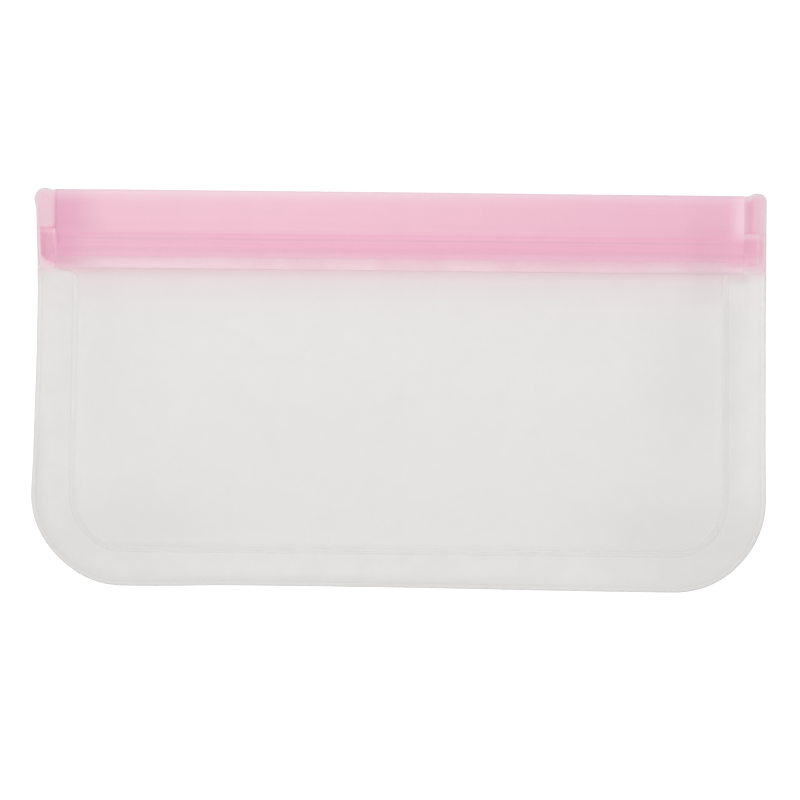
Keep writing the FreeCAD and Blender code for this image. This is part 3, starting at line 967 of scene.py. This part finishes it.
def back_section():
    """The back strip cut across: lip, two channels with hooks turned inward, and the flange."""
    under = STRIP_LOW.z
    face = under + WEB
    top = STRIP_HIGH.z
    rows = 6
    edge = LIP_EDGE + 0.08
    lip = [LIP_ROOT + (edge - 0.6 - LIP_ROOT) * n / rows for n in range(rows + 1)]
    shape = [(STRIP_EDGE, under), (STRIP_EDGE, face)]
    channel = [(CHANNEL, face), (CHANNEL, top), (HOOK_MOUTH, top), (HOOK_MOUTH, top - 0.35)]
    channel += [(GROOVE, top - 0.45), (GROOVE, face)]
    for line in reversed(TRACK_LINES):
        shape += both_sides(line, channel, -1)
    shape += [(y, face) for y in lip]
    shape += [(edge, face - 0.14), (edge, under + 0.08)]
    shape += [(y, under) for y in reversed(lip)]
    return shape


def settle_front(bm, side):
    """Lays the front strip at its level; near its ends it is squeezed onto the back strip."""
    for vert in bm.verts:
        x, y, z = vert.co
        level = strip_level(side * x, y)
        squeezed = squeeze(level)
        on_lip = smooth_step((y - LIP_ROOT) / 1.5)
        vert.co.z = level + (z - FRONT_TOP) * (squeezed + (1 - squeezed) * on_lip)
        vert.co.y -= 0.14 * smooth_step((side * x - 10) / 60) * smooth_step((y - LIP_EDGE + 3) / 3)
    mirror_left(bm, side)


def make_front_halves(section, radius, name, material, node):
    """Draws a section along the front strip, in two halves that meet in the middle."""
    for side_name, side in SIDES:
        bm = section_face(section, radius)
        draw_strip(bm, half_stops(side))
        settle_front(bm, side)
        finish_piece(bm, f"{name}_{side_name}", material, [node], blend_side=side)


def make_front_strip():
    """The strip on the front wall, with the beads."""
    section = front_section()
    make_front_halves(section, 0.06, "front_zip", STRIP_FINISH, "front_zip_strip")


def make_back_strip():
    """The strip on the back wall, whose channels are squeezed down near its ends."""
    bm = section_face(back_section(), 0.06)
    draw_strip(bm, all_stops())
    for vert in bm.verts:
        near_end = smooth_step((abs(vert.co.x) - SQUEEZE_START) / (STRIP_END - 4 - SQUEEZE_START))
        vert.co.z -= (vert.co.z - STRIP_LOW.z - WEB) * 0.6 * near_end * (vert.co.z > 1)
    finish_piece(bm, "back_zip", STRIP_FINISH, ["back_zip_strip"], "back_wall")


def make_front_weld():
    """The band of film fused over the flange of the front strip."""
    low = STRIP_EDGE + WELD_GAP
    high = FILM_EDGE - ZONE_GAP
    rows = [low + (high - low) * n / 4 for n in range(5)]
    section = [(y, FRONT_TOP + WELD_GAP) for y in rows]
    section += [(y, FRONT_TOP + weld_rise(y)) for y in reversed(rows)]
    make_front_halves(section, 0.02, "front_fused", WELD_FINISH, "front_film_weld")


def make_back_weld():
    """The band of film fused under the flange of the back strip."""
    low = STRIP_EDGE + WELD_GAP
    top = FILM - WELD_GAP
    bm = section_face([(low, WELD_GAP), (FILM_EDGE, WELD_GAP), (FILM_EDGE, top), (low, top)], 0.1)
    left = 0.1 - HALF_ZIP + cut_edge(-HALF_ZIP, STRIP_EDGE)[0]
    draw_strip(bm, [left + (HALF_ZIP - left) * n / 52 for n in range(53)])
    finish_piece(bm, "back_fused", WELD_FINISH, ["back_film_weld"], "back_wall")


# ---------------- pressed ends of the zip


def stand_on(bm, level):
    """Closes a shaped sheet into a block that stands on a level."""
    turn_up(bm)
    made = bmesh.ops.extrude_face_region(bm, geom=list(bm.faces), use_keep_orig=True)["geom"]
    for vert in (g for g in made if isinstance(g, bmesh.types.BMVert)):
        vert.co.z = level


def write_tone(bm, tone):
    """Writes on each point how pink the plastic is there."""
    layer = bm.verts.layers.float.new("tone")
    for vert in bm.verts:
        vert[layer] = min(max(tone(vert.co.x, vert.co.y), 0), 1)


END_STEP = 0.25  # size of the faces on the crushed ends

# The melted ears at the top corners: "out" and "up" are how far an ear swells past the side and
# the lip, "from" and "rise" where that starts, "top" its upper edge and "radius" its corner.
EARS = {
    "left": {"out": 0.5, "from": 52.3, "top": 58.75, "up": 0.5, "rise": 104.0, "radius": 3.3},
    "right": {"out": 0.0, "from": 52.5, "top": 58.8, "up": 0.9, "rise": 103.2, "radius": 2.4},
}
# where the pressed panel of the lips ends above the crushed tracks
PANEL_LOW = {"left": LIP_WELD_LOW.y + 0.1, "right": LIP_WELD_LOW.y + 0.55}


def trimmed_edge(side, y):
    """How far from the middle of the bag the crushed ends are cut off."""
    return HALF_ZIP + 0.15 + side * cut_edge(side * HALF_ZIP, y)[0]


def outer_edge(side, ear, y):
    """The outer edge of the crushed ends: the trimmed one, and the ear that swells past it."""
    return trimmed_edge(side, y) + ear["out"] * smooth_step((y - ear["from"]) / 3.5)


def ear_top(ear, x):
    """The upper edge of the crushed ends, which rises to the ear."""
    return ear["top"] + ear["up"] * smooth_step((x - ear["rise"]) / 2.8)


def panel_depth(side, ear, x, y):
    """How far a point lies inside the outer outline of the pressed panel."""
    return depth_inside(x, y, (0, 0), (outer_edge(side, ear, y), ear_top(ear, x)), ear["radius"])


def make_lip_end(name, side):
    """The pressed end of both lips, with the melted ear at its corner."""
    ear = EARS[name]
    inner = zip_end(side)
    low = PANEL_LOW[name]

    def place(x, y):
        """Spreads the panel to its outline, rounds its corner and gives its uneven face."""
        across = (x - inner) / (HALF_ZIP - inner)
        outer = outer_edge(side, ear, y)
        x = inner + (outer - inner) * across
        top = ear_top(ear, x)
        y = low + (top - low) * (y - low) / (LIP_EDGE - low)
        beyond_x = (x - outer) / ear["radius"] + 1
        beyond_y = (y - top) / ear["radius"] + 1
        if beyond_x > 0 and beyond_y > 0:
            pull = max(beyond_x, beyond_y) / math.hypot(beyond_x, beyond_y) - 1
            x += beyond_x * pull * ear["radius"]
            y += beyond_y * pull * ear["radius"]
        level = 1.3 + 0.2 * smooth_step(panel_depth(side, ear, x, y) / 1.5)
        gutter = 0.1 * bump(x - inner, 0.5) if side < 0 else 0.06 * bump(x - inner - 1.2, 0.6)
        level -= gutter + 0.08 * bump(y - low, 0.4)
        return x, y, level + 0.05 * waves(x, y, 3.1, 6.4)

    def tone(x, y):
        """Clear at the rim, pinker inside and along the edges that are pressed hardest."""
        depth = panel_depth(side, ear, x, y)
        in_ear = smooth_step((y - ear["from"]) / 3)
        if side < 0:
            margin = smooth_step((depth - 0.15) / (0.9 + 1.6 * in_ear))
            pinker = 0.1 * smooth_step(1.4 - (x - inner) / 1.2) - 0.06 * in_ear
            pinker += 0.25 * bump(x - inner, 0.3)
        else:
            margin = smooth_step((depth - 0.15) / 2.2)
            pinker = 0.08 + 0.2 * bump(x - inner - 1.7, 0.9) - 0.1 * smooth_step(x - 107)
        pinker += (0.12 if side < 0 else 0.05) * bump(y - low, 0.5)
        rim = smooth_step((depth - 0.25) / 0.6)
        return 0.12 * rim + margin * (0.38 + pinker)

    bm = grid_patch((inner, low + END_GAP), (HALF_ZIP, LIP_EDGE), END_STEP, place)
    write_tone(bm, tone)
    stand_on(bm, LIP_WELD_LOW.z)
    mirror_left(bm, side)
    node = f"{name}_lip_weld"
    finish_piece(bm, f"{name}_lip_end", LIP_END_FINISH, [node], "back_wall", sharp=50)


def crushed_depth(side, x, y):
    """How far a point lies inside the rounded outline of the crushed tracks."""
    outer = trimmed_edge(side, STRIP_EDGE) - (0.75 if side < 0 else 0.2)
    low = TRACK_WELD_LOW.y - (0.65 if side < 0 else 0)
    return depth_inside(x, y, (0, low), (outer, 100), 3.2 if side < 0 else 2.2)


def make_track_end(name, side):
    """The crushed and melted end of the tracks, which runs out into the fused films round it."""
    ear = EARS[name]
    inner = zip_end(side)
    top = PANEL_LOW[name]

    def place(x, y):
        """Raises the block of crushed tracks and leads it down to the strip and the films."""
        across = (x - inner) / (HALF_ZIP - inner)
        x = inner + (outer_edge(side, ear, y) - inner) * across
        foot = zip_foot(side * max(x, inner)) + 0.03
        block = 1.85 + 0.07 * waves(x, y, 1.7, 2.2)
        level = foot + max(block - foot, 0) * smooth_step(crushed_depth(side, x, y) / 2.6)
        joined = strip_level(side * inner, y)
        joined += weld_rise(y) * squeeze(joined)
        level += (joined - level) * max(1 - (x - inner) / 3.4, 0) ** 2
        return x, y, level - 0.12 * bump(y - top, 0.4) - 0.05 * bump(y - top + 1.1, 0.3)

    def tone(x, y):
        """Deep pink over the block, with a pale halo that fades into the film round it."""
        depth = crushed_depth(side, x, y)
        near = smooth_step(1 - (x - inner) / 3.5)
        halo = 0.06 + (0.25 + 0.2 * near) * smooth_step(1 + depth / 1.6)
        if side < 0:
            halo += 0.3 * smooth_step((y - 41) / 3) + 0.2 * near * smooth_step((y - 35.6) / 2)
            halo += 0.12 * smooth_step((y - 37.5) / 2)
            deep = 0.83 - 0.2 * bump(y - top + 0.8, 0.8)
            # a painted highlight line along the inner edge, where the block meets the strip
            deep -= 0.2 * bump(x - inner, 0.6) * smooth_step((y - 41) / 2)
            deep += 0.08 * bump(depth - 0.4, 0.4) + 0.03 * smooth_step((43 - y) / 3)
            deep -= 0.17 * smooth_step((39.8 - y) / 2.4)
        else:
            deep = 0.76 - 0.2 * bump(y - top + 0.9, 1.1)
            deep -= 0.16 * smooth_step((x - inner - 3.2) / 1.2)
            deep -= 0.16 * smooth_step((42 - y) / 4)
        within = smooth_step((outer_edge(side, ear, y) - x - 0.4) / 0.6)
        within += (1 - within) * smooth_step((37 - y) / 1.5)
        blur = 1.3 if side < 0 and y < 39 else 0.7
        return (halo + (deep - halo) * smooth_step(depth / blur + 0.4)) * within

    bm = grid_patch((inner, STRIP_EDGE + END_GAP), (HALF_ZIP, top), END_STEP, place)
    write_tone(bm, tone)
    stand_on(bm, TRACK_WELD_LOW.z)
    mirror_left(bm, side)
    node = f"{name}_track_weld"
    finish_piece(
        bm, f"{name}_track_end", TRACK_END_FINISH, [node], "back_wall", sharp=50
    )


# ---------------- light, floor and camera

FLOOR_GREY = 0.5
FLOOR_GLOW = 0.58  # brings the floor up to white where it is seen


def make_floor():
    """A plain white table that keeps the bag's soft shadow."""
    bm = bmesh.new()
    bmesh.ops.create_grid(bm, x_segments=2, y_segments=2, size=0.7)
    mesh = bpy.data.meshes.new("floor")
    bm.to_mesh(mesh)
    bm.free()
    floor = bpy.data.objects.new("floor", mesh)
    floor.location.z = -0.0001
    bpy.context.scene.collection.objects.link(floor)
    shader = Shader("white_floor")
    matt = shader.add("ShaderNodeBsdfDiffuse")
    matt.inputs["Color"].default_value = (FLOOR_GREY, FLOOR_GREY, FLOOR_GREY, 1)
    path = shader.add("ShaderNodeLightPath")
    seen = shader.math("ADD", path.outputs["Is Camera Ray"], path.outputs["Is Glossy Ray"])
    seen = shader.math("ADD", seen, path.outputs["Is Transmission Ray"])
    glow = shader.add("ShaderNodeEmission")
    shader.link(shader.math("MULTIPLY", seen, FLOOR_GLOW), glow.inputs["Strength"])
    both = shader.add("ShaderNodeAddShader")
    shader.link(matt.outputs[0], both.inputs[0])
    shader.link(glow.outputs[0], both.inputs[1])
    mesh.materials.append(shader.surface(both.outputs[0]))


def make_light(name, place, size, power):
    """A soft square lamp that faces the middle of the bag."""
    light = bpy.data.lights.new(name, "AREA")
    light.size = size
    light.energy = power
    lamp = bpy.data.objects.new(name, light)
    lamp.location = place
    lamp.rotation_euler = (-Vector(place)).to_track_quat("-Z", "Y").to_euler()
    bpy.context.scene.collection.objects.link(lamp)


def make_world(strength):
    """An even light from all sides, in front of a white background."""
    world = bpy.data.worlds.new("studio")
    world.use_nodes = True
    tree = world.node_tree
    background = tree.nodes["Background"]
    background.inputs["Color"].default_value = (1, 1, 1, 1)
    seen = tree.nodes.new("ShaderNodeMapRange")
    tree.links.new(tree.nodes.new("ShaderNodeLightPath").outputs["Is Camera Ray"], seen.inputs[0])
    seen.inputs["To Min"].default_value = strength
    tree.links.new(seen.outputs[0], background.inputs["Strength"])
    bpy.context.scene.world = world


def make_camera():
    """Straight above the bag, with the zip at the top of the picture and a slight roll."""
    data = bpy.data.cameras.new("camera")
    data.lens = 100
    data.sensor_width = 36
    width_in_view = 239.6 * MM
    camera = bpy.data.objects.new("camera", data)
    height = width_in_view * data.lens / data.sensor_width
    camera.location = (0.15 * MM, -3.1 * MM, height)
    camera.rotation_euler = Euler((0, 0, math.radians(0.6)))
    bpy.context.scene.collection.objects.link(camera)
    bpy.context.scene.camera = camera


# ---------------- build

make_border()
make_back_film()
make_front_film()
make_back_strip()
make_front_strip()
make_back_weld()
make_front_weld()
for side_name, side_sign in SIDES:
    make_lip_end(side_name, side_sign)
    make_track_end(side_name, side_sign)

make_floor()
make_world(0.4)
make_light("key", place=(-0.6, 0.5, 1.5), size=0.8, power=6.5)
make_light("overhead", place=(0.03, 0.03, 0.85), size=0.7, power=4.65)
make_camera()
bpy.context.scene.view_settings.view_transform = "Standard"
